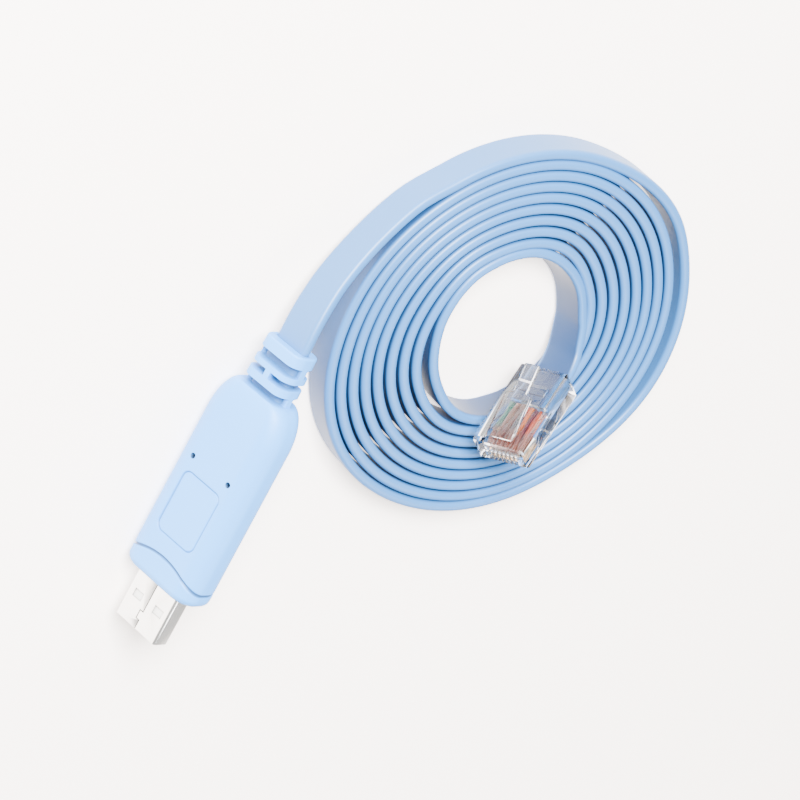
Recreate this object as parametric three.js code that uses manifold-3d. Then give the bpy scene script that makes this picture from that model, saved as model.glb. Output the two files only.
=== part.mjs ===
// USB-A to RJ45 console cable: a flat cable wound on its edge into a pancake coil,
// with a moulded USB plug at the outer end and a clear modular plug at the inner end.
// Millimetres, +Z up. The USB plug lies along X with its tip towards +X, the coil lies
// behind it (+Y) and to its cable side (-X). The origin is under the middle of the USB
// plug, on the surface that everything lies on.
import * as THREE from 'three';
import { mergeVertices } from 'three/addons/utils/BufferGeometryUtils.js';
import Module from 'manifold-3d';

const wasm = await Module();
wasm.setup();

// Clearances
const gap = 0.3; // between faces that meet
const fit = 0.2; // round a piece that sits in a pocket
const bladeFit = 0.15; // round a thin contact in its slot
const overCut = 1; // how far a cutting solid passes the face it cuts
const fullTurn = Math.PI * 2;

// Flat cable
const cableWidth = 8.2;
const cableThickness = 2.2;
const cableCorner = 0.95;
const turnPitch = 2.8; // one turn to the next, across the coil
const turnCount = 8.75;
const coilBoreRadius = 20;
const coilSides = 80;
const coilOuterRadius = coilBoreRadius + turnCount * turnPitch;
const coilCentre = new THREE.Vector2(-46.85, 52.85);

// USB shell
const shellWidth = 12;
const shellHeight = 4.5;
const shellWall = 0.3;
const shellCorner = 0.6;
const shellExposed = 11.5;
const shellSeat = 4; // depth of the housing's pocket
const shellHoleLength = 1.85;
const shellHoleWidth = 2.6;
const shellHoleFromTip = 6.2;
const shellHoleOffset = 3.1; // from the middle of the width
const seamWidth = 0.16;
const seamStepStart = 4; // from the tip
const seamStepLength = 2;
const seamStepOffset = 0.9;

// USB tongue and its four contacts
const tongueThickness = 1.84;
const tongueBack = 5; // length of the block that fills the shell behind the tongue
const tongueFromTip = 0.5;
const usbContactCount = 4;
const usbContactPitch = 2.5;
const usbContactInnerPitch = 2;
const usbContactWidth = 1;
const usbContactLength = 6.4;
const usbContactThickness = 0.3;
const usbContactFromTip = 1.4;
const usbContactProud = 0.05;

// Moulded housing
const housingLength = 46.25;
const housingFront = new THREE.Vector2(5.3, 10); // half thickness, half width at the front
const housingRear = new THREE.Vector2(5.1, 10); // the same where the shoulder starts
const cornerShare = 0.82; // corner radius as a share of the half thickness
const frontRound = 1.8;
const shoulderLength = 9;
const leanDegrees = 16.5;
const lean = THREE.MathUtils.degToRad(leanDegrees);
const sectionSegments = 8;

// Label recess, lamp holes and the moulded groove
const labelLength = 14.2;
const labelWidth = 10.8;
const labelRadius = 1.8;
const labelDepth = 0.3;
const labelFromFront = 10.2;
const lampHoleDiameter = 1;
const lampHoleDepth = 1.6;
const lampHoleFromFront = 27.35;
const lampHoleSpacing = 10.65;
const grooveFromFront = 6.1;
const grooveRise = 2.9; // how much nearer the front it is at the narrow sides
const grooveWidth = 0.4;
const grooveDepth = 0.35;
const groovePoints = 24;

// Strain relief: rings with slots between them, ending in a collar
const reliefBase = new THREE.Vector2(4.1, 5.75);
const reliefEnd = new THREE.Vector2(3.8, 5.4);
const reliefEndRound = 0.4;
const ringWidths = [2, 1.5];
const slotWidths = [1.6, 1.2, 1.95];
const collarLength = 2.8;
const coreWall = 0.5; // plastic left round the cable at the slots
const webWidth = 2.2;
const middleWebWidth = 1.6;
const middleWebOffset = 0.15;
const cablePocketDepth = 1.5;

// Modular plug
const modularLength = 21.5;
const modularWidth = 11.68;
const modularHeight = 6.8;
const modularChamfer = 0.7;
const jacketPocketLength = 9;
const chamberLength = 11;
const chamberHeight = 1.4;
const chamberSide = 1.5; // wall beside the wires
const wireCount = 8;
const wirePitch = 1.02;
const wireDiameter = 0.7;
const wireSides = 10;
const bladeThickness = 0.36;
const bladeLength = 5.4;
const bladeHeight = 2.1;
const bladeFromNose = 1.1;
const bladeBelowFace = 0.4;
const bladeCorner = 0.5;
const latchWideWidth = 6.2;
const latchNarrowWidth = 3.3;
const latchWideLength = 9.6;
const latchNarrowLength = 7.4;
const latchThickness = 0.9;
const latchFromNose = 2.2;
const latchSink = 0.25; // how far the latch's foot reaches into the body
const latchRise = THREE.MathUtils.degToRad(14);
const wedgeLength = 2.4;
const wedgeWidth = 7;
const wedgeDepth = 0.9;
const wedgeFromRear = 4.6;

// Modular plug's place: the middle of its rear face from the coil's axis, and its heading
const modularRear = new THREE.Vector3(6.03, 14.92, 9.6);
const modularHeading = THREE.MathUtils.degToRad(-38.5);
const modularPitch = THREE.MathUtils.degToRad(27.8);

// Derived sizes
const reliefLength = [...slotWidths, ...ringWidths, collarLength].reduce((sum, width) => sum + width);
const plugLength = shellExposed + housingLength + reliefLength;
const frontX = plugLength / 2 - shellExposed; // the housing's front face
const rearX = frontX - housingLength;
const endX = rearX - reliefLength;
const cornerRadius = housingFront.x * cornerShare;
const axisHeight = (housingFront.y - cornerRadius) * Math.cos(lean)
  + (housingFront.x - cornerRadius) * Math.sin(lean) + cornerRadius;

function toSolid(geometry) {
  const bare = geometry.clone();
  bare.deleteAttribute('normal');
  bare.deleteAttribute('uv');
  const merged = mergeVertices(bare, 1e-5);
  const vertProperties = new Float32Array(merged.attributes.position.array);
  const triVerts = new Uint32Array(merged.index.array);
  return new wasm.Manifold(new wasm.Mesh({ numProp: 3, vertProperties, triVerts }));
}

function toGeometry(solid) {
  const { vertProperties, triVerts } = solid.getMesh();
  const geometry = new THREE.BufferGeometry();
  geometry.setAttribute('position', new THREE.BufferAttribute(new Float32Array(vertProperties), 3));
  geometry.setIndex(new THREE.BufferAttribute(new Uint32Array(triVerts), 1));
  return geometry;
}

// A box between two corners
function block(x0, x1, y0, y1, z0, z1) {
  const box = new THREE.BoxGeometry(x1 - x0, y1 - y0, z1 - z0);
  return toSolid(box.translate((x0 + x1) / 2, (y0 + y1) / 2, (z0 + z1) / 2));
}

function roundedRectangle(halfX, halfY, radius) {
  const shape = new THREE.Shape();
  shape.moveTo(halfX, radius - halfY);
  shape.lineTo(halfX, halfY - radius);
  shape.absarc(halfX - radius, halfY - radius, radius, 0, Math.PI / 2);
  shape.lineTo(radius - halfX, halfY);
  shape.absarc(radius - halfX, halfY - radius, radius, Math.PI / 2, Math.PI);
  shape.lineTo(-halfX, radius - halfY);
  shape.absarc(radius - halfX, radius - halfY, radius, Math.PI, Math.PI * 1.5);
  shape.lineTo(halfX - radius, -halfY);
  shape.absarc(halfX - radius, radius - halfY, radius, Math.PI * 1.5, fullTurn);
  return shape;
}

// Extrudes a section in steps, then puts each step's points where place(step, x, y) says
function sweep(shape, steps, curveSegments, place) {
  const geometry = new THREE.ExtrudeGeometry(shape, { depth: 1, steps, bevelEnabled: false, curveSegments });
  const position = geometry.attributes.position;
  for (let i = 0; i < position.count; i += 1) {
    const step = Math.round(position.getZ(i) * steps);
    const point = place(step, position.getX(i), position.getY(i));
    position.setXYZ(i, point.x, point.y, point.z);
  }
  return geometry;
}

// A solid along X through stations { x, half } with half = (half thickness, half width)
function loft(stations) {
  const unit = roundedRectangle(housingFront.x, housingFront.y, cornerRadius);
  const place = (step, y, z) => {
    const { x, half } = stations[step];
    return new THREE.Vector3(x, (y * half.x) / housingFront.x, (z * half.y) / housingFront.y);
  };
  return toSolid(sweep(unit, stations.length - 1, sectionSegments, place));
}

// Housing stations from the rear forward, in the plug's own frame, shrunk by inset
function housingStations(inset) {
  const shoulderSteps = 10;
  const bodySteps = 6;
  const roundSteps = 6;
  const stations = [];
  for (let i = 0; i <= shoulderSteps; i += 1) {
    const angle = (i / shoulderSteps) * (Math.PI / 2);
    const x = rearX + shoulderLength * (1 - Math.cos(angle));
    stations.push({ x, half: reliefBase.clone().lerp(housingRear, Math.sin(angle)) });
  }
  const bodyStart = rearX + shoulderLength;
  const bodyEnd = frontX - frontRound;
  for (let i = 1; i <= bodySteps; i += 1) {
    const share = i / bodySteps;
    const x = THREE.MathUtils.lerp(bodyStart, bodyEnd, share);
    stations.push({ x, half: housingRear.clone().lerp(housingFront, share) });
  }
  for (let i = 1; i <= roundSteps; i += 1) {
    const angle = (i / roundSteps) * (Math.PI / 2);
    const shrink = frontRound * (1 - Math.cos(angle));
    const x = bodyEnd + frontRound * Math.sin(angle);
    stations.push({ x, half: housingFront.clone().subScalar(shrink) });
  }
  return stations.map(({ x, half }) => ({ x, half: half.clone().subScalar(inset) }));
}

function grooveCutter() {
  const sideZ = housingFront.y;
  const reachZ = sideZ + overCut;
  const line = [];
  for (let i = 0; i <= groovePoints; i += 1) {
    const z = THREE.MathUtils.lerp(-reachZ, reachZ, i / groovePoints);
    const share = Math.min(Math.abs(z) / sideZ, 1);
    line.push(new THREE.Vector2(frontX - grooveFromFront + grooveRise * share ** 2, z));
  }
  const front = line.map((point) => new THREE.Vector2(point.x + grooveWidth / 2, point.y));
  const back = line.map((point) => new THREE.Vector2(point.x - grooveWidth / 2, point.y)).reverse();
  const depth = 2 * (housingFront.x + overCut);
  const band = new THREE.ExtrudeGeometry(new THREE.Shape([...front, ...back]), { depth, bevelEnabled: false });
  band.translate(0, 0, -depth / 2);
  band.rotateX(Math.PI / 2);
  return toSolid(band).subtract(loft(housingStations(grooveDepth)));
}

function labelCutter() {
  const outline = roundedRectangle(labelLength / 2, labelWidth / 2, labelRadius);
  const depth = labelDepth + overCut;
  const plate = new THREE.ExtrudeGeometry(outline, { depth, bevelEnabled: false, curveSegments: 6 });
  plate.rotateX(Math.PI / 2);
  plate.translate(frontX - labelFromFront - labelLength / 2, labelDepth - housingRear.x, 0);
  return toSolid(plate);
}

function lampHoleCutter(side) {
  const length = lampHoleDepth + overCut;
  const pin = new THREE.CylinderGeometry(lampHoleDiameter / 2, lampHoleDiameter / 2, length, 20);
  const faceY = -housingRear.x;
  pin.translate(frontX - lampHoleFromFront, faceY + lampHoleDepth - length / 2, (side * lampHoleSpacing) / 2);
  return toSolid(pin);
}

// Slots between the strain relief's rings. Outer slots keep webs at the narrow sides,
// the middle one keeps its webs on the wide faces.
function slotCutters() {
  const coreY = cableThickness / 2 + coreWall;
  const coreZ = cableWidth / 2 + coreWall / 2;
  const reach = reliefBase.y + overCut;
  const cutters = [];
  let start = rearX;
  slotWidths.forEach((width, index) => {
    const end = start - width;
    const core = block(end - overCut, start + overCut, -coreY, coreY, -coreZ, coreZ);
    const sideWeb = block(end - overCut, start + overCut, -webWidth / 2, webWidth / 2, -reach, reach);
    const faceWeb = block(end - overCut, start + overCut, -reach, reach,
      middleWebOffset - middleWebWidth / 2, middleWebOffset + middleWebWidth / 2);
    const web = index === 1 ? faceWeb : sideWeb;
    cutters.push(block(end, start, -reach, reach, -reach, reach).subtract(core).subtract(web));
    start = end - ringWidths[index];
  });
  return cutters;
}

function housingGeometry() {
  const relief = loft([
    { x: endX, half: reliefEnd.clone().subScalar(reliefEndRound) },
    { x: endX + reliefEndRound, half: reliefEnd },
    { x: rearX, half: reliefBase },
    { x: rearX + overCut, half: reliefBase },
  ]);
  let body = loft(housingStations(0)).add(relief);
  body = body.subtract(block(frontX - shellSeat, frontX + overCut,
    -(shellHeight / 2 + fit), shellHeight / 2 + fit, -(shellWidth / 2 + fit), shellWidth / 2 + fit));
  body = body.subtract(block(endX - overCut, endX + cablePocketDepth,
    -(cableThickness / 2 + fit), cableThickness / 2 + fit, -(cableWidth / 2 + fit), cableWidth / 2 + fit));
  const cutters = [grooveCutter(), labelCutter(), lampHoleCutter(-1), lampHoleCutter(1), ...slotCutters()];
  return toGeometry(cutters.reduce((solid, cutter) => solid.subtract(cutter), body));
}

function shellGeometry() {
  const backX = frontX - shellSeat + gap;
  const tipX = frontX + shellExposed;
  const halfY = shellHeight / 2;
  const halfZ = shellWidth / 2;
  const tube = new THREE.ExtrudeGeometry(roundedRectangle(halfY, halfZ, shellCorner),
    { depth: tipX - backX, bevelEnabled: false, curveSegments: 5 });
  const inside = roundedRectangle(halfY - shellWall, halfZ - shellWall, shellCorner - shellWall);
  const bore = new THREE.ExtrudeGeometry(inside,
    { depth: tipX - backX + 2 * overCut, bevelEnabled: false, curveSegments: 5 });
  bore.translate(0, 0, -overCut);
  let shell = toSolid(tube).subtract(toSolid(bore));
  shell = shell.transform(alongX(backX));
  const holeX = tipX - shellHoleFromTip;
  for (const side of [-1, 1]) {
    const z = side * shellHoleOffset;
    shell = shell.subtract(block(holeX - shellHoleLength / 2, holeX + shellHoleLength / 2,
      -shellHeight, shellHeight, z - shellHoleWidth / 2, z + shellHoleWidth / 2));
  }
  const stepEnd = tipX - seamStepStart + seamStepLength;
  const stepStart = tipX - seamStepStart;
  const half = seamWidth / 2;
  const faceY = shellWall + fit - halfY;
  const outerY = -halfY - overCut;
  const cuts = [
    [backX - overCut, stepStart + half, 0],
    [stepStart - half, stepEnd + half, -seamStepOffset],
    [stepEnd - half, tipX + overCut, 0],
  ];
  for (const [x0, x1, z] of cuts) {
    shell = shell.subtract(block(x0, x1, outerY, faceY, z - half, z + half));
  }
  for (const x of [stepStart, stepEnd]) {
    shell = shell.subtract(block(x - half, x + half, outerY, faceY, -seamStepOffset, half));
  }
  return toGeometry(shell);
}

// Column-major matrix that lays an extrusion (x, y, depth) along (y, z, x) and moves it to x
function alongX(x) {
  const matrix = new THREE.Matrix4().makeBasis(
    new THREE.Vector3(0, 1, 0),
    new THREE.Vector3(0, 0, 1),
    new THREE.Vector3(1, 0, 0),
  );
  return matrix.setPosition(x, 0, 0).elements;
}

const innerHalfY = shellHeight / 2 - shellWall - fit;
const innerHalfZ = shellWidth / 2 - shellWall - fit;
const tongueFaceY = tongueThickness - innerHalfY;

function usbContactZ(index) {
  const side = index < usbContactCount / 2 ? -1 : 1;
  const outer = index === 0 || index === usbContactCount - 1;
  return side * (usbContactInnerPitch / 2 + (outer ? usbContactPitch : 0));
}

function tongueGeometry() {
  const backX = frontX - shellSeat + gap;
  const tipX = frontX + shellExposed - tongueFromTip;
  let tongue = block(backX, tipX, -innerHalfY, tongueFaceY, -innerHalfZ, innerHalfZ);
  const back = block(backX, backX + tongueBack, -innerHalfY, innerHalfY, -innerHalfZ, innerHalfZ);
  tongue = tongue.add(back);
  for (let i = 0; i < usbContactCount; i += 1) {
    const z = usbContactZ(i);
    const halfZ = usbContactWidth / 2 + bladeFit;
    const slotEnd = tipX - usbContactFromTip + fit;
    const slotFloor = tongueFaceY - usbContactThickness + usbContactProud - fit;
    tongue = tongue.subtract(block(slotEnd - usbContactLength - 2 * fit, slotEnd,
      slotFloor, tongueFaceY + overCut, z - halfZ, z + halfZ));
  }
  return toGeometry(tongue);
}

function usbContactGeometry() {
  return new THREE.BoxGeometry(usbContactLength, usbContactThickness, usbContactWidth);
}

// The modular plug's own frame: x from the rear to the nose, y away from the latch side,
// z across the eight wires. Its rear face's middle is at the origin.
const contactFaceY = modularHeight / 2;
const latchFaceY = -modularHeight / 2;
const chamberEnd = jacketPocketLength + chamberLength;

function wireZ(index) {
  return (index - (wireCount - 1) / 2) * wirePitch;
}

function modularBodyGeometry() {
  const profile = new THREE.Shape();
  profile.moveTo(0, latchFaceY);
  profile.lineTo(modularLength - modularChamfer, latchFaceY);
  profile.lineTo(modularLength, latchFaceY + modularChamfer);
  profile.lineTo(modularLength, contactFaceY - modularChamfer);
  profile.lineTo(modularLength - modularChamfer, contactFaceY);
  profile.lineTo(0, contactFaceY);
  profile.closePath();
  const bodyPlate = new THREE.ExtrudeGeometry(profile, { depth: modularWidth, bevelEnabled: false });
  bodyPlate.translate(0, 0, -modularWidth / 2);
  let body = toSolid(bodyPlate).add(latchSolid());
  const jacketY = cableThickness / 2 + fit;
  const jacketZ = cableWidth / 2 + fit;
  body = body.subtract(block(-overCut, jacketPocketLength, -jacketY, jacketY, -jacketZ, jacketZ));
  const chamberZ = modularWidth / 2 - chamberSide;
  body = body.subtract(block(jacketPocketLength - overCut, chamberEnd,
    -chamberHeight / 2, chamberHeight / 2, -chamberZ, chamberZ));
  body = body.subtract(block(wedgeFromRear, wedgeFromRear + wedgeLength,
    latchFaceY - overCut, latchFaceY + wedgeDepth, -wedgeWidth / 2, wedgeWidth / 2));
  const slotStart = modularLength - bladeFromNose - bladeLength - bladeFit;
  const slotHalf = bladeThickness / 2 + bladeFit;
  for (let i = 0; i < wireCount; i += 1) {
    const z = wireZ(i);
    body = body.subtract(block(slotStart, modularLength + overCut, chamberHeight / 2 - gap,
      contactFaceY + overCut, z - slotHalf, z + slotHalf));
  }
  return toGeometry(body);
}

// The latch springs from the nose end and rises towards the rear
function latchSolid() {
  const hingeX = modularLength - latchFromNose;
  const length = latchWideLength + latchNarrowLength;
  const wide = block(-latchWideLength, overCut, -latchThickness, 0, -latchWideWidth / 2, latchWideWidth / 2);
  const narrow = block(-length, 0, -latchThickness, 0, -latchNarrowWidth / 2, latchNarrowWidth / 2);
  const turned = new THREE.Matrix4().makeRotationZ(latchRise).setPosition(hingeX, latchFaceY + latchSink, 0);
  return wide.add(narrow).transform(turned.elements);
}

function bladeGeometry() {
  const outline = new THREE.Shape();
  outline.moveTo(0, 0);
  outline.lineTo(bladeLength, 0);
  outline.lineTo(bladeLength, bladeHeight - bladeCorner);
  outline.absarc(bladeLength - bladeCorner, bladeHeight - bladeCorner, bladeCorner, 0, Math.PI / 2);
  outline.lineTo(0, bladeHeight);
  outline.closePath();
  const blade = new THREE.ExtrudeGeometry(outline, { depth: bladeThickness, bevelEnabled: false, curveSegments: 5 });
  return blade.translate(0, 0, -bladeThickness / 2);
}

function wireGeometry() {
  const length = chamberLength - 2 * gap;
  const wire = new THREE.CylinderGeometry(wireDiameter / 2, wireDiameter / 2, length, wireSides);
  return wire.rotateZ(-Math.PI / 2);
}

// Cable route: the middle of the flat cable, and the degrees its width is turned from
// upright.
// The lead runs from inside the strain relief's collar to the outside of the coil.
const leadSteps = 21;
const tailSteps = 24;
const leadStart = endX + cablePocketDepth - gap;
const leadRoute = [
  { point: [leadStart, 0, axisHeight], turned: leanDegrees },
  { point: [endX - 1, 0, axisHeight], turned: leanDegrees },
  { point: [-39.5, 0.35, 9.5], turned: 15 },
  { point: [-44, 1.3, 8.6], turned: 12 },
  { point: [-49.5, 3.1, 7.4], turned: 8 },
  { point: [-56.3, 6.6, 6.1], turned: 4 },
  { point: [-62, 9.6, 5.2], turned: 2 },
];

// The tail runs from inside the modular plug to the inside of the coil, measured from
// the coil's axis. Its width turns from the modular plug's to upright.
const tailRoute = [
  [3.2, 16.8, 7.9],
  [0.1, 18, 6.3],
  [-3.4, 18.2, 5],
  [-7, 17.1, 4.4],
  [-10.2, 15.3, 4.2],
];

// A flat cable along stations { centre, across, width }: unit vectors across its
// thickness and along its width
function ribbonGeometry(stations) {
  const section = roundedRectangle(cableThickness / 2, cableWidth / 2, cableCorner);
  const place = (step, thin, wide) => {
    const { centre, across, width } = stations[step];
    return centre.clone().addScaledVector(across, thin).addScaledVector(width, wide);
  };
  return sweep(section, stations.length - 1, 2, place);
}

function ribbonStations(points, widths, count) {
  const curve = new THREE.CatmullRomCurve3(points, false, 'centripetal');
  const stations = [];
  for (let i = 0; i <= count; i += 1) {
    const share = i / count;
    const scaled = share * (points.length - 1);
    const index = Math.min(Math.floor(scaled), points.length - 2);
    const centre = curve.getPoint(share);
    const tangent = curve.getTangent(share);
    const width = widths[index].clone().lerp(widths[index + 1], scaled - index);
    width.addScaledVector(tangent, -width.dot(tangent)).normalize();
    const across = new THREE.Vector3().crossVectors(width, tangent).normalize();
    stations.push({ centre, across, width });
  }
  return stations;
}

function leadGeometry() {
  const points = leadRoute.map(({ point }) => new THREE.Vector3(...point));
  const widths = leadRoute.map(({ turned }) => {
    const angle = THREE.MathUtils.degToRad(turned);
    return new THREE.Vector3(0, Math.sin(angle), Math.cos(angle));
  });
  return ribbonGeometry(ribbonStations(points, widths, leadSteps));
}

function tailGeometry(plugPlace) {
  const inside = [jacketPocketLength - gap, 0].map((x) => new THREE.Vector3(x, 0, 0).applyMatrix4(plugPlace));
  const outside = tailRoute.map(([x, y, z]) => new THREE.Vector3(coilCentre.x + x, coilCentre.y + y, z));
  const plugWidth = new THREE.Vector3(0, 0, 1).transformDirection(plugPlace);
  const upright = new THREE.Vector3(0, 0, 1);
  const widths = [plugWidth, plugWidth, ...tailRoute.map(() => upright)];
  return ribbonGeometry(ribbonStations([...inside, ...outside], widths, tailSteps));
}

function coilGeometry() {
  const profile = [
    new THREE.Vector2(coilBoreRadius, 0),
    new THREE.Vector2(coilOuterRadius, 0),
    new THREE.Vector2(coilOuterRadius, cableWidth),
    new THREE.Vector2(coilBoreRadius, cableWidth),
    new THREE.Vector2(coilBoreRadius, 0),
  ];
  const ring = new THREE.LatheGeometry(profile, coilSides);
  return ring.rotateX(Math.PI / 2);
}

const finishes = {
  plastic: { color: 0xcde2f7, roughness: 0.55, metalness: 0 },
  cable: { color: 0xbed4ec, roughness: 0.5, metalness: 0 },
  steel: { color: 0xf2f1ee, roughness: 0.25, metalness: 1 },
  insulator: { color: 0xf1efe9, roughness: 0.5, metalness: 0 },
  gold: { color: 0xd9a860, roughness: 0.3, metalness: 1 },
  clear: { color: 0xeef3f6, roughness: 0.1, metalness: 0 },
};
const wireColours = [0x8fc9b8, 0xd9c3b4, 0x9c6a52, 0x1d1f2a, 0xd9532c, 0xf0a23a, 0x9a5570, 0xe0783f];

function piece(name, geometry, finish) {
  const mesh = new THREE.Mesh(geometry, new THREE.MeshStandardMaterial(finish));
  mesh.name = name;
  return mesh;
}

const cable = new THREE.Group();

// USB plug, turned about its own axis so that it leans back
const usbPlug = new THREE.Group();
usbPlug.position.set(0, 0, axisHeight);
usbPlug.rotation.x = -lean;
usbPlug.add(piece('usb_housing', housingGeometry(), finishes.plastic));
usbPlug.add(piece('usb_shell', shellGeometry(), finishes.steel));
usbPlug.add(piece('usb_tongue', tongueGeometry(), finishes.insulator));
for (let i = 0; i < usbContactCount; i += 1) {
  const contact = piece(`usb_contact_${i + 1}`, usbContactGeometry(), finishes.gold);
  const tipX = frontX + shellExposed - tongueFromTip - usbContactFromTip;
  contact.position.set(tipX - usbContactLength / 2,
    tongueFaceY + usbContactProud - usbContactThickness / 2, usbContactZ(i));
  usbPlug.add(contact);
}
cable.add(usbPlug);

// Modular plug, on its edge with its nose raised over the turns
const modularPlug = new THREE.Group();
const heading = new THREE.Matrix4().makeRotationZ(modularHeading);
const rising = new THREE.Matrix4().makeRotationY(-modularPitch);
modularPlug.applyMatrix4(heading.multiply(rising));
modularPlug.position.set(coilCentre.x + modularRear.x, coilCentre.y + modularRear.y, modularRear.z);
modularPlug.updateMatrix();
modularPlug.add(piece('rj45_body', modularBodyGeometry(), finishes.clear));
for (let i = 0; i < wireCount; i += 1) {
  const wire = piece(`wire_${i + 1}`, wireGeometry(), { color: wireColours[i], roughness: 0.5, metalness: 0 });
  wire.position.set(jacketPocketLength + chamberLength / 2, 0, wireZ(i));
  modularPlug.add(wire);
  const blade = piece(`rj45_contact_${i + 1}`, bladeGeometry(), finishes.gold);
  blade.position.set(modularLength - bladeFromNose - bladeLength,
    contactFaceY - bladeBelowFace - bladeHeight, wireZ(i));
  modularPlug.add(blade);
}
cable.add(modularPlug);

cable.add(piece('cable_lead', leadGeometry(), finishes.cable));
cable.add(piece('cable_tail', tailGeometry(modularPlug.matrix), finishes.cable));
const coil = piece('cable_coil', coilGeometry(), finishes.cable);
coil.position.set(coilCentre.x, coilCentre.y, 0);
cable.add(coil);

export default cable;
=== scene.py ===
import math

import bmesh
import bpy
import numpy as np
from mathutils import Matrix, Vector


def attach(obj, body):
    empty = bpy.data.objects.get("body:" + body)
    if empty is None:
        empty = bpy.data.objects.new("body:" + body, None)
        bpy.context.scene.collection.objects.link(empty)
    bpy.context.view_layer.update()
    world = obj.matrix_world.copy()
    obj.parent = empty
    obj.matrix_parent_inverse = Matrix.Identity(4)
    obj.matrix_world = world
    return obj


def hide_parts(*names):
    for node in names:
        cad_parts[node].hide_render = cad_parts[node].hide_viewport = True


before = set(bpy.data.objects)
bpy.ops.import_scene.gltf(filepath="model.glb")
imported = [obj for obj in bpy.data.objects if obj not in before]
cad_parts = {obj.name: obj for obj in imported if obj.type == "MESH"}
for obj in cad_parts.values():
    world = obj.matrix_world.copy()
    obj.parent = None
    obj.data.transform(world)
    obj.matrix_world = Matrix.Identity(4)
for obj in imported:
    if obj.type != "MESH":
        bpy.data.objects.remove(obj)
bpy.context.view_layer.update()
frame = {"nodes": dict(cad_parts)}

# Lengths are in millimetres up to where a mesh is made, which is in metres.
MM = 0.001

# Camera: fitted to the coil's turns and to the USB plug's outline
VIEW_AZIMUTH = math.radians(-24.448)
VIEW_ELEVATION = math.radians(44.429)
VIEW_ROLL = math.radians(136.56)
VIEW_DISTANCE = 650
VIEW_SLIDE = (42.835, 14.174)  # in the camera's own plane
VIEW_ORIGIN = (1.72, 0, 0)
VIEW_LENS = 143.2

# USB plug
LEAN = math.radians(16.5)
FRONT_X = 22.9
HOUSING_LENGTH = 46.25
REAR_X = FRONT_X - HOUSING_LENGTH
FRONT_HALF = (5.3, 10.0)  # half thickness, half width
REAR_HALF = (5.1, 10.0)
CORNER_RADIUS = FRONT_HALF[0] * 0.82
FRONT_ROUND = 1.8
SHOULDER = 9.0
RELIEF_BASE = (4.1, 5.75)
RELIEF_END = (3.8, 5.4)
RELIEF_END_ROUND = 0.4
SLOTS = (1.6, 1.2, 1.95)
RINGS = (2.0, 1.5)
COLLAR = 2.8
END_X = REAR_X - sum(SLOTS) - sum(RINGS) - COLLAR
AXIS_HEIGHT = ((FRONT_HALF[1] - CORNER_RADIUS) * math.cos(LEAN)
               + (FRONT_HALF[0] - CORNER_RADIUS) * math.sin(LEAN) + CORNER_RADIUS)
SHELL_EXPOSED = 11.5
SHELL_SEAT = 4.0
TIP_X = FRONT_X + SHELL_EXPOSED
POCKET_DEPTH = 1.5
POCKET_GAP = 0.2  # room around the cable and the shell in their pockets
POCKET_EDGE = 0.1  # how far the mouths of the pockets are rounded in
CORE_MARGIN = (0.5, 0.25)  # plastic left around the cable inside the relief's slots
SHELL_HALF = (2.25, 6.0)

# Cable
CABLE_WIDTH = 8.2
CABLE_THICKNESS = 2.35
CABLE_CORNER = 0.95
TURN_PITCH = 2.8
COIL_CENTRE = (-46.85, 52.85)
INNER_ANGLE = -325.0  # degrees, where the even spiral starts
OUTER_ANGLE = 2749.0  # degrees, where the last turn becomes the lead
ANGLE_STEP = 6  # degrees between the points of the even spiral
TURNS_IN = 8.159  # turns from the coil's axis to the spiral's zero angle
END_GAP = 0.3  # between the cable's ends and the bottoms of their pockets

# Modular plug
MODULAR_REAR = (6.03, 14.92, 9.6)  # the middle of its rear face, from the coil's axis
MODULAR_HEADING = math.radians(-38.5)
MODULAR_PITCH = math.radians(27.8)
MODULAR_LENGTH = 21.5
MODULAR_WIDTH = 11.68
MODULAR_HEIGHT = 6.8
JACKET_POCKET = 9.0

plug_place = Matrix.Translation((0, 0, AXIS_HEIGHT)) @ Matrix.Rotation(-LEAN, 4, "X")
modular_place = (Matrix.Translation((COIL_CENTRE[0] + MODULAR_REAR[0], COIL_CENTRE[1] + MODULAR_REAR[1],
                                     MODULAR_REAR[2]))
                 @ Matrix.Rotation(MODULAR_HEADING, 4, "Z") @ Matrix.Rotation(-MODULAR_PITCH, 4, "Y"))


def set_camera():
    back = Vector((math.sin(VIEW_AZIMUTH) * math.cos(VIEW_ELEVATION),
                   -math.cos(VIEW_AZIMUTH) * math.cos(VIEW_ELEVATION), math.sin(VIEW_ELEVATION)))
    level = Vector((math.cos(VIEW_AZIMUTH), math.sin(VIEW_AZIMUTH), 0))
    upright = back.cross(level)
    right = level * math.cos(VIEW_ROLL) + upright * math.sin(VIEW_ROLL)
    up = upright * math.cos(VIEW_ROLL) - level * math.sin(VIEW_ROLL)
    place = Vector(VIEW_ORIGIN) + back * VIEW_DISTANCE + right * VIEW_SLIDE[0] + up * VIEW_SLIDE[1]
    data = bpy.data.cameras.new("camera")
    data.lens = VIEW_LENS
    data.sensor_width = 36
    data.clip_start = 0.01
    camera = bpy.data.objects.new("camera", data)
    bpy.context.collection.objects.link(camera)
    turn = Matrix((right, up, back)).transposed().to_4x4()
    camera.matrix_world = Matrix.Translation(place * MM) @ turn
    bpy.context.scene.camera = camera


def new_material(name):
    material = bpy.data.materials.new(name)
    material.use_nodes = True
    return material, material.node_tree.nodes, material.node_tree.links


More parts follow.
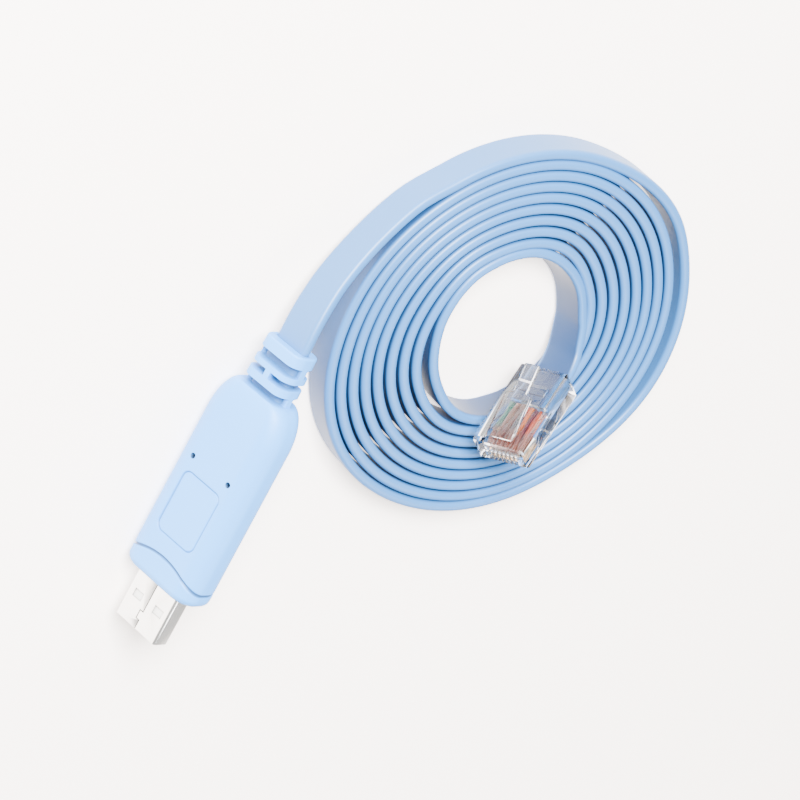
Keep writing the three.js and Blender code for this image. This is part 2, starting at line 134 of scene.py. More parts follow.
def mottled(name, colour, roughness, grain=400.0, bump=0.05, vary=0.03, specular=0.5, second=None):
    """A plastic whose colour varies a little, with a fine moulded grain. Where the mesh's
    attribute "tone" is 1 it has the second colour."""
    material, nodes, links = new_material(name)
    shader = nodes["Principled BSDF"]
    place = nodes.new("ShaderNodeTexCoord")
    coarse = nodes.new("ShaderNodeTexNoise")
    coarse.inputs["Scale"].default_value = grain * 0.12
    coarse.inputs["Detail"].default_value = 3
    links.new(place.outputs["Object"], coarse.inputs["Vector"])
    tint = nodes.new("ShaderNodeMix")
    tint.data_type = "RGBA"
    tint.inputs["A"].default_value = (*[c * (1 - vary) for c in colour], 1)
    tint.inputs["B"].default_value = (*[min(c * (1 + vary), 1) for c in colour], 1)
    links.new(coarse.outputs["Fac"], tint.inputs["Factor"])
    result = tint.outputs["Result"]
    if second is not None:
        tone = nodes.new("ShaderNodeAttribute")
        tone.attribute_name = "tone"
        change = nodes.new("ShaderNodeMix")
        change.data_type = "RGBA"
        links.new(tone.outputs["Fac"], change.inputs["Factor"])
        links.new(result, change.inputs["A"])
        change.inputs["B"].default_value = (*second, 1)
        result = change.outputs["Result"]
    links.new(result, shader.inputs["Base Color"])
    fine = nodes.new("ShaderNodeTexNoise")
    fine.inputs["Scale"].default_value = grain * 8
    fine.inputs["Detail"].default_value = 2
    links.new(place.outputs["Object"], fine.inputs["Vector"])
    relief = nodes.new("ShaderNodeBump")
    relief.inputs["Strength"].default_value = bump
    relief.inputs["Distance"].default_value = 0.0001
    links.new(fine.outputs["Fac"], relief.inputs["Height"])
    links.new(relief.outputs["Normal"], shader.inputs["Normal"])
    shader.inputs["Roughness"].default_value = roughness
    shader.inputs["Specular IOR Level"].default_value = specular
    return material


def metal(name, colour, roughness, second=None):
    material = mottled(name, colour, roughness, grain=900.0, bump=0.02, vary=0.02, second=second)
    material.node_tree.nodes["Principled BSDF"].inputs["Metallic"].default_value = 1
    return material


def clear(name):
    material, nodes, links = new_material(name)
    shader = nodes["Principled BSDF"]
    shader.inputs["Base Color"].default_value = (0.97, 0.985, 1.0, 1)
    shader.inputs["Transmission Weight"].default_value = 1
    shader.inputs["IOR"].default_value = 1.27
    noise = nodes.new("ShaderNodeTexNoise")
    noise.inputs["Scale"].default_value = 260
    noise.inputs["Detail"].default_value = 3
    place = nodes.new("ShaderNodeTexCoord")
    links.new(place.outputs["Object"], noise.inputs["Vector"])
    spread = nodes.new("ShaderNodeMapRange")
    spread.inputs["To Min"].default_value = 0.0
    spread.inputs["To Max"].default_value = 0.06
    links.new(noise.outputs["Fac"], spread.inputs["Value"])
    links.new(spread.outputs["Result"], shader.inputs["Roughness"])
    return material


HOUSING_COLOUR = (0.055, 0.31, 0.82)
# Painted shade: this near-black goes into the label's outline, the groove, in and round the lamp holes and
# into the relief's slots
RECESS_SHADE_COLOUR = (0.004, 0.008, 0.02)
# The cable's own colour, seen on its edges; the flat sides take painted shade
CABLE_EDGE_COLOUR = (0.034, 0.15, 0.38)
CABLE_GAP_SHADE_COLOUR = (0.006, 0.032, 0.10)  # painted shade on the flat sides, where the turns shade each other inside the coil
WIRE_COLOURS = {"teal": (0.01, 0.13, 0.085), "white": (0.22, 0.085, 0.05), "brown": (0.12, 0.03, 0.012),
                "black": (0.006, 0.008, 0.02), "red": (0.20, 0.010, 0.002), "yellow": (0.38, 0.07, 0.002),
                "purple": (0.07, 0.008, 0.02), "orange": (0.25, 0.025, 0.002)}
COPPER_COLOUR = (0.13, 0.036, 0.02)  # bared ends by the contacts
# The housing's second colour is painted shade in its recesses
housing_plastic = mottled("housing plastic", HOUSING_COLOUR, 0.5, second=RECESS_SHADE_COLOUR)
# The cable's second colour is painted shade on the flat sides between the turns
cable_plastic = mottled("cable plastic", CABLE_EDGE_COLOUR, 0.42, second=CABLE_GAP_SHADE_COLOUR)
# The shell's second colour is painted shade in its holes, seams and inside
shell_steel = metal("shell steel", (0.93, 0.925, 0.91), 0.22, second=(0.05, 0.025, 0.012))
insulator = mottled("insulator", (0.75, 0.74, 0.71), 0.45)
gold = metal("gold plating", (0.86, 0.56, 0.30), 0.25)
clear_plastic = clear("clear plastic")


def add_object(name, mesh, material, place, sharp_degrees=None):
    mesh.materials.append(material)
    mesh.shade_smooth()
    if sharp_degrees is not None:
        mesh.set_sharp_from_angle(angle=math.radians(sharp_degrees))
    thing = bpy.data.objects.new(name, mesh)
    bpy.context.collection.objects.link(thing)
    thing.matrix_world = place
    return thing


def metres(matrix):
    """A place in millimetres as one in metres."""
    scaled = matrix.copy()
    scaled.translation = matrix.translation * MM
    return scaled


def raw_mesh(name, points, faces):
    mesh = bpy.data.meshes.new(name)
    mesh.from_pydata([tuple(p) for p in np.asarray(points) * MM], [], faces)
    mesh.update()
    return mesh


def set_tone(mesh, values):
    tone = mesh.attributes.new("tone", "FLOAT", "POINT")
    tone.data.foreach_set("value", values.astype(np.float32))


def grid_mesh(name, rows):
    """Closed mesh through rows of points, each row a ring; the end rings are filled."""
    count, width = len(rows), len(rows[0])
    points = np.concatenate(rows)
    faces = []
    for i in range(count - 1):
        for j in range(width):
            k = (j + 1) % width
            faces.append((i * width + j, i * width + k, (i + 1) * width + k, (i + 1) * width + j))
    faces.append(tuple(range(width - 1, -1, -1)))
    faces.append(tuple((count - 1) * width + j for j in range(width)))
    return raw_mesh(name, points, faces)


def box_mesh(name, x0, x1, y0, y1, z0, z1):
    points = [(x, y, z) for x in (x0, x1) for y in (y0, y1) for z in (z0, z1)]
    faces = [(0, 1, 3, 2), (4, 6, 7, 5), (0, 4, 5, 1), (2, 3, 7, 6), (0, 2, 6, 4), (1, 5, 7, 3)]
    return raw_mesh(name, points, faces)


def prism_mesh(name, outline, low, high, axis="z"):
    """An outline of (a, b) points from low to high along an axis: z takes (x, y), x takes (y, z)."""
    count = len(outline)
    if axis == "z":
        points = [(a, b, c) for c in (low, high) for a, b in outline]
    else:
        points = [(c, a, b) for c in (low, high) for a, b in outline]
    faces = [(i, (i + 1) % count, count + (i + 1) % count, count + i) for i in range(count)]
    faces.append(tuple(range(count - 1, -1, -1)))
    faces.append(tuple(range(count, 2 * count)))
    return raw_mesh(name, points, faces)


def rounded_outline(half_a, half_b, radius, steps):
    points = []
    for turn, (sign_a, sign_b) in enumerate(((1, 1), (-1, 1), (-1, -1), (1, -1))):
        for i in range(steps + 1):
            angle = math.radians(90 * turn + 90 * i / steps)
            points.append((sign_a * (half_a - radius) + radius * math.cos(angle),
                           sign_b * (half_b - radius) + radius * math.sin(angle)))
    return points


def combine(mesh, others, operation):
    """Mesh joined with or cut by the other meshes, which are used up."""
    thing = bpy.data.objects.new("work", mesh)
    bpy.context.collection.objects.link(thing)
    tools = []
    for other in others:
        tool = bpy.data.objects.new("tool", other)
        bpy.context.collection.objects.link(tool)
        tools.append(tool)
        change = thing.modifiers.new("change", "BOOLEAN")
        change.object = tool
        change.operation = operation
        change.solver = "EXACT"
    bpy.context.view_layer.update()
    result = bpy.data.meshes.new_from_object(thing.evaluated_get(bpy.context.evaluated_depsgraph_get()))
    for used in [thing, *tools]:
        data = used.data
        bpy.data.objects.remove(used)
        bpy.data.meshes.remove(data)
    return result


def bevelled(mesh, width, angle):
    thing = bpy.data.objects.new("work", mesh)
    bpy.context.collection.objects.link(thing)
    bevel = thing.modifiers.new("bevel", "BEVEL")
    bevel.width = width * MM
    bevel.segments = 2
    bevel.limit_method = "ANGLE"
    bevel.angle_limit = math.radians(angle)
    bevel.use_clamp_overlap = True
    bpy.context.view_layer.update()
    result = bpy.data.meshes.new_from_object(thing.evaluated_get(bpy.context.evaluated_depsgraph_get()))
    bpy.data.objects.remove(thing)
    bpy.data.meshes.remove(mesh)
    return result


def smoothstep(low, high, value):
    share = np.clip((value - low) / (high - low), 0, 1)
    return share * share * (3 - 2 * share)


# (x, y, z, degrees its width leans from upright), from the strain relief to the coil
LEAD_ROUTE = [
    (END_X + POCKET_DEPTH - END_GAP, 0, AXIS_HEIGHT, 16.5),
    (END_X - 1, 0, AXIS_HEIGHT, 16.5),
    (-39.5, 0.35, 9.5, 15),
    (-44, 1.3, 8.6, 12),
    (-49.5, 3.1, 7.4, 8),
    (-56.45, 6.3, 6.1, 4),
    (-63.6, 10.35, 5.0, 2),
    (-69.8, 14.7, 4.3, 0),
]
# (x, y, z, lean) from the coil's axis, from the modular plug's rear to the first turn
TAIL_ROUTE = [
    (4.6, 16.2, 8.7, 16),
    (2.6, 17.25, 7.6, 17),
    (0.2, 17.9, 6.4, 17),
    (-2.4, 17.75, 5.5, 17),
    (-5.2, 17.2, 4.8, 16),
]
# (degrees, radius, lean outward) of the innermost turn, from the tail to the even spiral
INNER_TURN = [
    (-604, 18.05, 12), (-584, 18.05, 12), (-568, 18.4, 12), (-552, 18.9, 11), (-537, 19.5, 9),
    (-523, 19.8, 7), (-507, 19.8, 4), (-489, 19.6, 2), (-475, 19.2, 0), (-461, 18.6, 0), (-446, 18.1, 0),
    (-428, 17.6, 0), (-410, 17.7, 0), (-393, 18.1, 0), (-376, 19.1, 0), (-360, 20.0, 0), (-343, 20.45, 0),
]
# How far the turns stray from an even spiral, by the turn number: millimetres outward
# every 45 degrees from 135 degrees on
STRAY = {
    -0.2: (-0.35, 0.9, 0.35, -0.88, -0.65, 0.2, 0.0, -0.27),
    3.0: (-0.15, 0.42, 0.15, 0.0, 0.1, 0.1, 0.4, 0.5),
    6.4: (-0.3, -0.55, -0.65, -0.25, 0.33, -0.4, -0.1, 0.15),
    7.4: (1.0, -1.15, -0.9, -0.1, 0.1, -0.5, -0.7, 2.3),
}
GAP_SHADE_FADE = (1.0, 0.15)  # the painted shade fades out between these distances from the edge
GAP_SHADE_BY_RUN = {0: 0.1, 50: 0.15, 110: 0.3, 210: 0.5, 330: 1.0}  # the painted shade's share, by the length run from the relief


def stray(degrees):
    turn = degrees / 360
    step = (degrees - 135) / 45
    low = math.floor(step)
    share = (1 - math.cos(math.pi * (step - low))) / 2
    marks = list(STRAY)
    values = [STRAY[mark][low % 8] * (1 - share) + STRAY[mark][(low + 1) % 8] * share for mark in marks]
    return float(np.interp(turn, marks, values))


def round_coil(degrees, radius, lean):
    """Centre and width direction of an upright or leaning ribbon at an angle and radius."""
    angle, lean = math.radians(degrees), math.radians(lean)
    height = CABLE_WIDTH / 2 * math.cos(lean) + CABLE_THICKNESS / 2 * math.sin(lean)
    outward = (math.cos(angle), math.sin(angle))
    return ((COIL_CENTRE[0] + radius * outward[0], COIL_CENTRE[1] + radius * outward[1], height),
            (outward[0] * math.sin(lean), outward[1] * math.sin(lean), math.cos(lean)))


def through(points, cuts):
    """Smooth curve through the points, each stretch cut in equal parts."""
    points = np.asarray(points, float)
    ends = np.vstack([2 * points[0] - points[1], points, 2 * points[-1] - points[-2]])
    share = np.arange(cuts)[:, None] / cuts
    line = []
    for a, b, c, d in zip(ends, ends[1:], ends[2:], ends[3:]):
        line.append(0.5 * (2 * b + (c - a) * share + (2 * a - 5 * b + 4 * c - d) * share ** 2
                           + (3 * b - a - 3 * c + d) * share ** 3))
    return np.vstack([*line, points[-1:]])


def leaning(degrees):
    """Width direction of a ribbon that leans towards +Y."""
    return (0, math.sin(math.radians(degrees)), math.cos(math.radians(degrees)))


def cable_line():
    """Centre points and width directions along the whole cable."""
    centres = [point[:3] for point in LEAD_ROUTE]
    widths = [leaning(point[3]) for point in LEAD_ROUTE]
    count = int((OUTER_ANGLE - INNER_ANGLE) / ANGLE_STEP)
    for i in range(count + 1):
        degrees = OUTER_ANGLE - (OUTER_ANGLE - INNER_ANGLE) * i / count
        radius = TURN_PITCH * (TURNS_IN + degrees / 360) + stray(degrees)
        centre, width = round_coil(degrees, radius, 0)
        centres.append(centre)
        widths.append(width)
    for degrees, radius, lean in reversed(INNER_TURN):
        centre, width = round_coil(degrees, radius, lean)
        centres.append(centre)
        widths.append(width)
    for x, y, z, lean in reversed(TAIL_ROUTE):
        centres.append((COIL_CENTRE[0] + x, COIL_CENTRE[1] + y, z))
        widths.append(leaning(lean))
    plug_width = modular_place.to_3x3() @ Vector((0, 0, 1))
    for along in (0.0, JACKET_POCKET - END_GAP):
        centres.append(tuple(modular_place @ Vector((along, 0, 0))))
        widths.append(tuple(plug_width))
    return through(centres, 3), through(widths, 3)


def cable_section():
    """Outline of the ribbon, with more points on its flat sides for the painted shade."""
    near_corner = 0.12
    points = rounded_outline(CABLE_THICKNESS / 2, CABLE_WIDTH / 2, CABLE_CORNER, 5)
    outline = []
    for i, (a, b) in enumerate(points):
        outline.append((a, b))
        c, d = points[(i + 1) % len(points)]
        length = math.hypot(c - a, d - b)
        if length > 4 * near_corner:
            for share in (near_corner / length, 0.1, 0.2, 0.8, 0.9, 1 - near_corner / length):
                outline.append((a + (c - a) * share, b + (d - b) * share))
    return np.array(outline)


def make_cable():
    centres, widths = cable_line()
    ahead = np.gradient(centres, axis=0)
    ahead /= np.linalg.norm(ahead, axis=1)[:, None]
    widths = widths - ahead * np.sum(widths * ahead, axis=1)[:, None]
    widths /= np.linalg.norm(widths, axis=1)[:, None]
    across = np.cross(widths, ahead)
    section = cable_section()
    rows = [centre + np.outer(section[:, 0], thin) + np.outer(section[:, 1], wide)
            for centre, thin, wide in zip(centres, across, widths)]
    mesh = grid_mesh("flat_cable", rows)
    # Painted shade on the flat sides, stronger deeper into the coil
    flat_side_share = 1 - smoothstep(CABLE_WIDTH / 2 - GAP_SHADE_FADE[0], CABLE_WIDTH / 2 - GAP_SHADE_FADE[1],
                              np.abs(section[:, 1]))
    run = np.concatenate([[0], np.cumsum(np.linalg.norm(np.diff(centres, axis=0), axis=1))])
    gap_shade_share = np.interp(run, list(GAP_SHADE_BY_RUN), list(GAP_SHADE_BY_RUN.values()))
    set_tone(mesh, np.outer(gap_shade_share, flat_side_share).ravel())
    return add_object("flat_cable", mesh, cable_plastic, Matrix.Identity(4), 50), centres


def housing_section():
    """Unit section points (y, z) on the front section, dense on the label's side."""
    half_y, half_z = FRONT_HALF
    radius = CORNER_RADIUS
    flat_y, flat_z = half_y - radius, half_z - radius
    near = np.concatenate([np.linspace(0, 10, 7)[1:], np.linspace(10, 90, 15)[1:]])
    points = [(-half_y, z) for z in np.linspace(flat_z, -flat_z, 91)]
    for angle in np.radians(near):
        points.append((-flat_y - radius * math.cos(angle), -flat_z - radius * math.sin(angle)))
    points += [(y, -half_z) for y in np.linspace(-flat_y, flat_y, 7)[1:]]
    for angle in np.radians(np.linspace(0, 90, 15)[1:]):
        points.append((flat_y + radius * math.sin(angle), -flat_z - radius * math.cos(angle)))
    points += [(half_y, z) for z in np.linspace(-flat_z, flat_z, 25)[1:]]
    for angle in np.radians(np.linspace(0, 90, 15)[1:]):
        points.append((flat_y + radius * math.cos(angle), flat_z + radius * math.sin(angle)))
    points += [(y, half_z) for y in np.linspace(flat_y, -flat_y, 7)[1:]]
    for angle in np.radians(near[::-1])[1:]:
        points.append((-flat_y - radius * math.cos(angle), flat_z + radius * math.sin(angle)))
    return np.array(points)


def housing_half(x):
    """Half thickness and half width of the housing at x."""
    base, end = np.array(RELIEF_BASE), np.array(RELIEF_END)
    front, rear = np.array(FRONT_HALF), np.array(REAR_HALF)
    if x <= REAR_X:
        half = base + (end - base) * (REAR_X - x) / (REAR_X - END_X)
        inset = max(END_X + RELIEF_END_ROUND - x, 0)
        if inset > 0:
            half = half - (RELIEF_END_ROUND - math.sqrt(max(RELIEF_END_ROUND ** 2 - inset ** 2, 0)))
        return half
    if x <= REAR_X + SHOULDER:
        angle = math.acos(1 - (x - REAR_X) / SHOULDER)
        return base + (rear - base) * math.sin(angle)
    start, stop = REAR_X + SHOULDER, FRONT_X - FRONT_ROUND
    if x <= stop:
        return rear + (front - rear) * (x - start) / (stop - start)
    inset = x - stop
    return front - (FRONT_ROUND - math.sqrt(max(FRONT_ROUND ** 2 - inset ** 2, 0)))


LABEL = dict(length=14.2, width=10.8, radius=1.8, depth=0.12, line=0.3, from_front=10.2)
LAMP_HOLE = dict(diameter=1.0, depth=1.5, from_front=27.35, spacing=10.65)
GROOVE = dict(from_front=6.1, rise=2.9, width=0.5, depth=0.4)
WEB_WIDTH = 2.2
MIDDLE_WEB = (0.15, 1.6)  # its middle and its width


def housing_stations():
    label_front = FRONT_X - LABEL["from_front"]
    label_back = label_front - LABEL["length"]
    lamp = FRONT_X - LAMP_HOLE["from_front"]
    marks = [(END_X, 0.05), (END_X + RELIEF_END_ROUND, 0.1)]
    x = END_X + COLLAR
    for slot, ring in zip(reversed(SLOTS), (RINGS[1], RINGS[0], 0.0)):
        marks += [(x - 0.25, 0.3), (x, 0.06), (x + 0.25, 0.2), (x + slot - 0.25, 0.06), (x + slot, 0.06),
                  (x + slot + 0.25, 0.3)]
        x += slot + ring
    marks += [(REAR_X + 1, 0.2), (REAR_X + SHOULDER, 0.5), (lamp - 0.7, 0.1), (lamp + 0.7, 0.5),
              (label_back - 0.3, 0.08), (label_back + 0.3, 0.16), (label_back + LABEL["radius"], 0.4),
              (label_front - LABEL["radius"], 0.16), (label_front - 0.3, 0.08), (label_front + 0.3, 0.3),
              (FRONT_X - GROOVE["from_front"] - 0.5, 0.11), (FRONT_X - GROOVE["from_front"] + 3.4, 0.2),
              (FRONT_X - FRONT_ROUND, 0.12), (FRONT_X - 0.2, 0.04), (FRONT_X, None)]
    stations = []
    for (start, step), (stop, _) in zip(marks, marks[1:]):
        count = max(int(math.ceil((stop - start) / step)), 1)
        stations += list(np.linspace(start, stop, count + 1)[:-1])
    return np.array(stations + [FRONT_X])


def pressed_in(x, points):
    """How far each point at x is pressed in along its normal, how far into the slots, and
    how much painted shade it gets in the label's outline, the groove, in and round the lamp holes and in the
    slots."""
    y, z = points[:, 0], points[:, 1]
    on_face = smoothstep(0.5, 0.9, -y / REAR_HALF[0])
    depth = np.zeros(len(points))
    # label recess, with painted shade along its outline
    middle_x = FRONT_X - LABEL["from_front"] - LABEL["length"] / 2
    reach_x = abs(x - middle_x) - (LABEL["length"] / 2 - LABEL["radius"])
    reach_z = np.abs(z) - (LABEL["width"] / 2 - LABEL["radius"])
    outside = np.hypot(np.maximum(reach_x, 0), np.maximum(reach_z, 0))
    outside = outside + np.minimum(np.maximum(reach_x, reach_z), 0) - LABEL["radius"]
    line = on_face * (1 - smoothstep(0.06, 0.2, np.abs(outside + 0.1)))
    depth += on_face * LABEL["depth"] * (1 - smoothstep(-0.1, 0.1, outside)) + LABEL["line"] * line
    painted_shade = 0.45 * line
    # groove, with painted shade in it
    middle = FRONT_X - GROOVE["from_front"] + GROOVE["rise"] * np.minimum(np.abs(z) / FRONT_HALF[1], 1) ** 2
    slope = 2 * GROOVE["rise"] * np.abs(z) / FRONT_HALF[1] ** 2
    away = np.abs(x - middle) / np.hypot(1, slope)
    groove = 1 - smoothstep(GROOVE["width"] * 0.3, GROOVE["width"] * 0.75, away)
    depth += GROOVE["depth"] * groove
    painted_shade = np.maximum(painted_shade, 0.8 * groove)
    # lamp holes, with painted shade in and round them
    for side in (-1, 1):
        away = np.hypot(x - (FRONT_X - LAMP_HOLE["from_front"]), z - side * LAMP_HOLE["spacing"] / 2)
        edge = LAMP_HOLE["diameter"] / 2
        sunk = on_face * (1 - smoothstep(edge * 0.8, edge * 1.1, away))
        depth += LAMP_HOLE["depth"] * sunk
        painted_shade = np.maximum(painted_shade, on_face * (1 - smoothstep(edge * 1.05, edge * 1.4, away)))
    # slots of the strain relief, which also get painted shade
    into = np.zeros(len(points))
    start = REAR_X
    for index, slot in enumerate(SLOTS):
        stop = start - slot
        inside = smoothstep(stop - 0.08, stop + 0.12, x)
        inside = inside * (1 - smoothstep(start - 0.12, start + 0.08, x))
        if index == 1:
            away = np.abs(z - MIDDLE_WEB[0])
            web = 1 - smoothstep(MIDDLE_WEB[1] / 2 - 0.1, MIDDLE_WEB[1] / 2 + 0.1, away)
        else:
            web = 1 - smoothstep(WEB_WIDTH / 2 - 0.1, WEB_WIDTH / 2 + 0.1, np.abs(y))
            web = web * (np.abs(z) > RELIEF_END[1] * 0.6)
        into = np.maximum(into, inside * (1 - web))
        start = stop - (RINGS[index] if index < len(RINGS) else 0)
    return depth, into, np.maximum(painted_shade, 0.7 * into)


def make_housing():
    """One grid from the cable's pocket, over the outside, to the shell's seat."""
    unit = housing_section()
    cable_half = np.array([CABLE_THICKNESS / 2, CABLE_WIDTH / 2])
    core = (cable_half + CORE_MARGIN) / np.array(FRONT_HALF)
    around = np.roll(unit, -1, axis=0) - np.roll(unit, 1, axis=0)
    inward = np.stack([-around[:, 1], around[:, 0]], axis=1)
    inward /= np.linalg.norm(inward, axis=1)[:, None]
    if np.mean(np.sum(inward * unit, axis=1)) > 0:
        inward = -inward
    rows, tones = [], []

    def ring(x, section, tone=0.0):
        rows.append(np.column_stack([np.full(len(section), x), section]))
        tones.append(np.full(len(section), tone))

    pocket = unit * ((cable_half + POCKET_GAP) / np.array(FRONT_HALF))
    pocket_back = END_X + POCKET_DEPTH
    ring(pocket_back, pocket * 0.1)
    ring(pocket_back, pocket * 0.98)
    ring(pocket_back - 0.05, pocket)
    ring(END_X + POCKET_EDGE, pocket)
    ring(END_X, pocket * 1.02)
    end_half = housing_half(END_X)
    ring(END_X, unit * end_half / FRONT_HALF * 0.97)
    for x in housing_stations():
        scale = housing_half(x) / np.array(FRONT_HALF)
        points = unit * scale
        # the third value is the painted shade of the recesses, kept as the tone
        depth, into, painted_shade = pressed_in(x, points)
        points = points + inward * depth[:, None]
        points = points * (1 - into[:, None]) + unit * core * into[:, None]
        ring(x, points, painted_shade)
    seat = unit * ((np.array(SHELL_HALF) + POCKET_GAP) / np.array(FRONT_HALF))
    front_half = housing_half(FRONT_X)
    ring(FRONT_X, unit * front_half / FRONT_HALF * 0.97)
    ring(FRONT_X, seat * 1.02)
    ring(FRONT_X - POCKET_EDGE, seat)
    ring(FRONT_X - SHELL_SEAT + 0.05, seat)
    ring(FRONT_X - SHELL_SEAT, seat * 0.98)
    ring(FRONT_X - SHELL_SEAT, seat * 0.1)
    mesh = grid_mesh("usb_plug_housing", rows)
    set_tone(mesh, np.concatenate(tones))
    bm = bmesh.new()
    bm.from_mesh(mesh)
    bmesh.ops.recalc_face_normals(bm, faces=bm.faces)
    bm.to_mesh(mesh)
    bm.free()
    thing = add_object("usb_plug_housing", mesh, housing_plastic, metres(plug_place), 60)
    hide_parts("usb_housing")
    return thing


SHELL_CORNER = 0.6
SHELL_WALL = 0.3
SHELL_HOLE = dict(length=1.85, width=2.6, from_tip=6.2, offset=3.1)
SEAM = dict(width=0.24, start=4, end=2, sideways=-0.9)  # its step, from the tip


def make_shell():
    back = FRONT_X - SHELL_SEAT + 0.3
    half_y, half_z = SHELL_HALF
    tube = prism_mesh("tube", rounded_outline(half_y, half_z, SHELL_CORNER, 8), back, TIP_X, "x")
    inner = rounded_outline(half_y - SHELL_WALL, half_z - SHELL_WALL, SHELL_CORNER - SHELL_WALL, 8)
    bore = prism_mesh("bore", inner, back - 1, TIP_X + 1, "x")
    cuts = [bore]
    hole_x = TIP_X - SHELL_HOLE["from_tip"]
    for side in (-1, 1):
        z = side * SHELL_HOLE["offset"]
        cuts.append(box_mesh("hole", hole_x - SHELL_HOLE["length"] / 2, hole_x + SHELL_HOLE["length"] / 2,
                             -half_y - 1, half_y + 1,
                             z - SHELL_HOLE["width"] / 2, z + SHELL_HOLE["width"] / 2))
    half = SEAM["width"] / 2
    step_start, step_end, step_z = TIP_X - SEAM["start"], TIP_X - SEAM["end"], SEAM["sideways"]
    deep = -half_y + SHELL_WALL + 0.1
    for x0, x1, z in ((back - 1, step_start + half, 0), (step_start - half, step_end + half, step_z),
                      (step_end - half, TIP_X + 1, 0)):
        cuts.append(box_mesh("seam", x0, x1, -half_y - 1, deep, z - half, z + half))
    for x in (step_start, step_end):
        cuts.append(box_mesh("seam", x - half, x + half, -half_y - 1, deep, step_z, half))
    mesh = bevelled(combine(tube, cuts, "DIFFERENCE"), 0.05, 50)
    # Painted shade: the walls of the holes and seams and the shell's inner faces take the dark second colour
    points = np.empty(len(mesh.vertices) * 3)
    mesh.vertices.foreach_get("co", points)
    depth, side = np.abs(points.reshape(-1, 3)[:, 1:]).T / MM
    painted_shade_walls = (depth > 1.8) & (depth < half_y - 0.04) & (side < half_z - SHELL_CORNER - 0.05)
    set_tone(mesh, painted_shade_walls * 1.0)
    thing = add_object("usb_plug_shell", mesh, shell_steel, metres(plug_place), 40)
    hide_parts("usb_shell")
    return thing


LATCH = dict(wide=6.2, narrow=3.3, wide_length=9.6, narrow_length=7.4, thickness=0.9, from_nose=2.2,
             sink=0.25, rise=math.radians(14), root=0.8, shoulder=0.5)
WEDGE = dict(length=2.4, width=7.0, depth=0.9, from_rear=4.6)
CHAMBER = dict(length=11.0, height=1.4, side=1.5)
BLADE = dict(thickness=0.36, length=5.4, from_nose=1.1, fit=0.15)
NOSE_CHAMFER = 0.7
WIRE_COUNT = 8
WIRE_PITCH = 1.02
WIRE_HALF = (0.46, 0.45)
WIRE_SWAY = 0.12
WIRE_SIDES = 16
BARED_FROM = (0.5, 0.75)  # shares of the wire's length between which copper takes over


def wire_z(index):
    return (index - (WIRE_COUNT - 1) / 2) * WIRE_PITCH


def latch_mesh():
    half_wide, half_narrow = LATCH["wide"] / 2, LATCH["narrow"] / 2
    wide, total = LATCH["wide_length"], LATCH["wide_length"] + LATCH["narrow_length"]
    root, shoulder = LATCH["root"], -wide - LATCH["shoulder"]
    outline = [(root, -half_wide), (root, half_wide), (-wide, half_wide), (shoulder, half_narrow),
               (-total, half_narrow), (-total, -half_narrow), (shoulder, -half_narrow),
               (-wide, -half_wide)]
    mesh = prism_mesh("latch", outline, 0, LATCH["thickness"], "z")
    turn = Matrix(((1, 0, 0, 0), (0, 0, -1, 0), (0, 1, 0, 0), (0, 0, 0, 1)))
    hinge = Matrix.Translation(Vector((MODULAR_LENGTH - LATCH["from_nose"],
                                       -MODULAR_HEIGHT / 2 + LATCH["sink"], 0)) * MM)
    mesh.transform(hinge @ Matrix.Rotation(LATCH["rise"], 4, "Z") @ turn)
    mesh.flip_normals()
    return mesh


def make_modular_body():
    half_y, half_z, chamfer = MODULAR_HEIGHT / 2, MODULAR_WIDTH / 2, NOSE_CHAMFER
    outline = [(0, -half_y), (MODULAR_LENGTH - chamfer, -half_y), (MODULAR_LENGTH, -half_y + chamfer),
               (MODULAR_LENGTH, half_y - chamfer), (MODULAR_LENGTH - chamfer, half_y), (0, half_y)]
    body = prism_mesh("modular_body", outline, -half_z, half_z, "z")
    body = combine(body, [latch_mesh()], "UNION")
    pocket_y, pocket_z = CABLE_THICKNESS / 2 + POCKET_GAP, CABLE_WIDTH / 2 + POCKET_GAP
    cuts = [box_mesh("pocket", -1, JACKET_POCKET, -pocket_y, pocket_y, -pocket_z, pocket_z),
            box_mesh("chamber", JACKET_POCKET - 1, JACKET_POCKET + CHAMBER["length"], -CHAMBER["height"] / 2,
                     CHAMBER["height"] / 2, -half_z + CHAMBER["side"], half_z - CHAMBER["side"]),
            box_mesh("wedge", WEDGE["from_rear"], WEDGE["from_rear"] + WEDGE["length"], -half_y - 1,
                     -half_y + WEDGE["depth"], -WEDGE["width"] / 2, WEDGE["width"] / 2)]
    slot_start = MODULAR_LENGTH - BLADE["from_nose"] - BLADE["length"] - BLADE["fit"]
    slot_half = BLADE["thickness"] / 2 + BLADE["fit"]
    for i in range(WIRE_COUNT):
        cuts.append(box_mesh("slot", slot_start, MODULAR_LENGTH + 1, CHAMBER["height"] / 2 - 0.3,
                             half_y + 1, wire_z(i) - slot_half, wire_z(i) + slot_half))
    mesh = bevelled(combine(body, cuts, "DIFFERENCE"), 0.12, 40)
    thing = add_object("modular_body", mesh, clear_plastic, metres(modular_place), 40)
    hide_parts("rj45_body")
    return thing


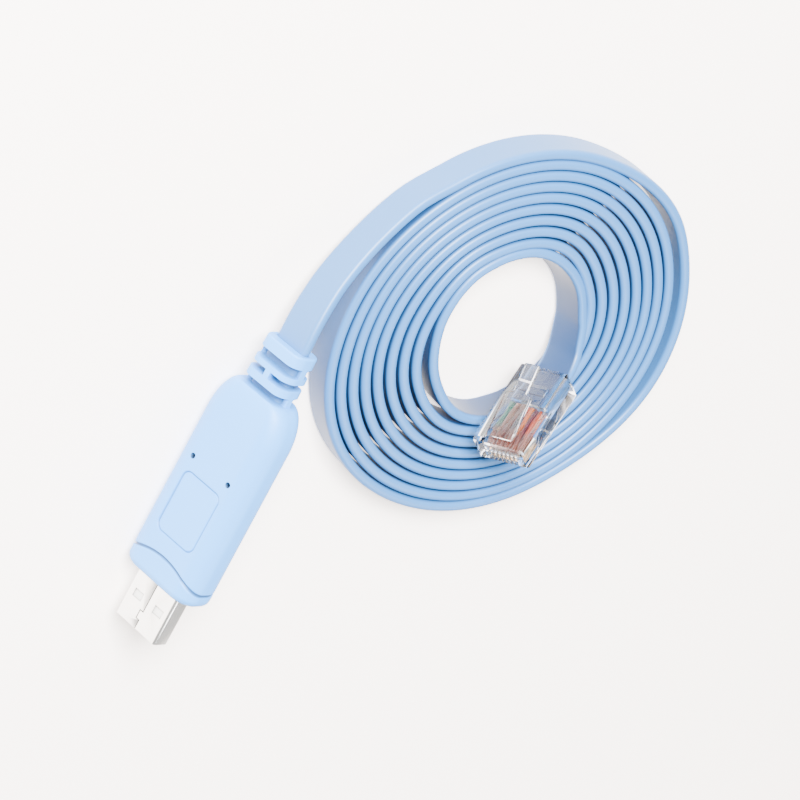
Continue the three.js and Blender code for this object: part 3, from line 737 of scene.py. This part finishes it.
def make_wire(index):
    """One insulated wire, gently bent, its front part bared to copper."""
    length = CHAMBER["length"] - 0.6
    bend = (-1) ** index * WIRE_SWAY
    rows, tones = [], []
    for share in np.linspace(0, 1, 25):
        x = JACKET_POCKET + 0.3 + length * share
        y = bend * math.sin(math.pi * 2 * share)
        z = wire_z(index) * (1 - 0.04 * math.sin(math.pi * share))
        ring = [(x, y + WIRE_HALF[0] * math.cos(a), z + WIRE_HALF[1] * math.sin(a))
                for a in np.linspace(0, 2 * math.pi, WIRE_SIDES + 1)[:-1]]
        rows.append(np.array(ring))
        tones.append(np.full(WIRE_SIDES, smoothstep(*BARED_FROM, share)))
    name = "wire_strand_%d" % (index + 1)
    mesh = grid_mesh(name, rows)
    set_tone(mesh, np.concatenate(tones))
    word = list(WIRE_COLOURS)[index]
    finish = mottled("wire " + word, WIRE_COLOURS[word], 0.4, second=COPPER_COLOUR)
    wire = add_object(name, mesh, finish, metres(modular_place), 60)
    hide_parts("wire_%d" % (index + 1))
    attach(wire, "root")
    return wire


FLOOR_HALF = 3000
FLOOR_TOP = -0.05


def make_stage():
    corners = [(-1, -1), (1, -1), (1, 1), (-1, 1)]
    points = [(a * FLOOR_HALF, b * FLOOR_HALF, FLOOR_TOP) for a, b in corners]
    mesh = raw_mesh("floor", points, [(0, 1, 2, 3)])
    paper = mottled("floor paper", (0.95, 0.88, 0.83), 0.9, grain=40, bump=0.0, vary=0.0, specular=0.1)
    shader = paper.node_tree.nodes["Principled BSDF"]
    shader.inputs["Emission Color"].default_value = (1.0, 0.88, 0.8, 1)
    shader.inputs["Emission Strength"].default_value = 1.8
    floor = add_object("floor", mesh, paper, Matrix.Identity(4))


def add_light(name, place, aim, size, power):
    data = bpy.data.lights.new(name, "AREA")
    data.shape = "SQUARE"
    data.size = size
    data.energy = power
    light = bpy.data.objects.new(name, data)
    bpy.context.collection.objects.link(light)
    light.location = place
    light.rotation_euler = (Vector(aim) - Vector(place)).to_track_quat("-Z", "Y").to_euler()


def light_scene():
    world = bpy.data.worlds.new("world")
    world.use_nodes = True
    background = world.node_tree.nodes["Background"]
    background.inputs["Color"].default_value = (1.0, 0.985, 0.97, 1)
    background.inputs["Strength"].default_value = 0.9
    bpy.context.scene.world = world
    middle = (-0.03, 0.04, 0)
    add_light("key", (-0.5, -0.45, 0.68), middle, 0.4, 76.0)
    add_light("back", (0.35, 0.5, 0.7), middle, 0.4, 6.0)


set_camera()
cable, cable_centres = make_cable()
housing = make_housing()
shell = make_shell()
modular_body = make_modular_body()
wires = [make_wire(i) for i in range(WIRE_COUNT)]
make_stage()
light_scene()

nodes = frame["nodes"]
for name, node in nodes.items():
    if name == "usb_tongue":
        finish, slot = insulator, "tongue"
    elif "contact" in name:
        finish, slot = gold, "contacts"
    else:
        continue
    node.data.materials.clear()
    node.data.materials.append(finish)

for thing, slot in ((cable, "cable"), (housing, "housing"), (shell, "shell"), (modular_body, "clear_body")):
    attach(thing, "root")
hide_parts("cable_lead", "cable_coil", "cable_tail")

on_cable = [modular_body, *wires]
on_cable += [node for name, node in nodes.items() if name.startswith("rj45_contact_")]
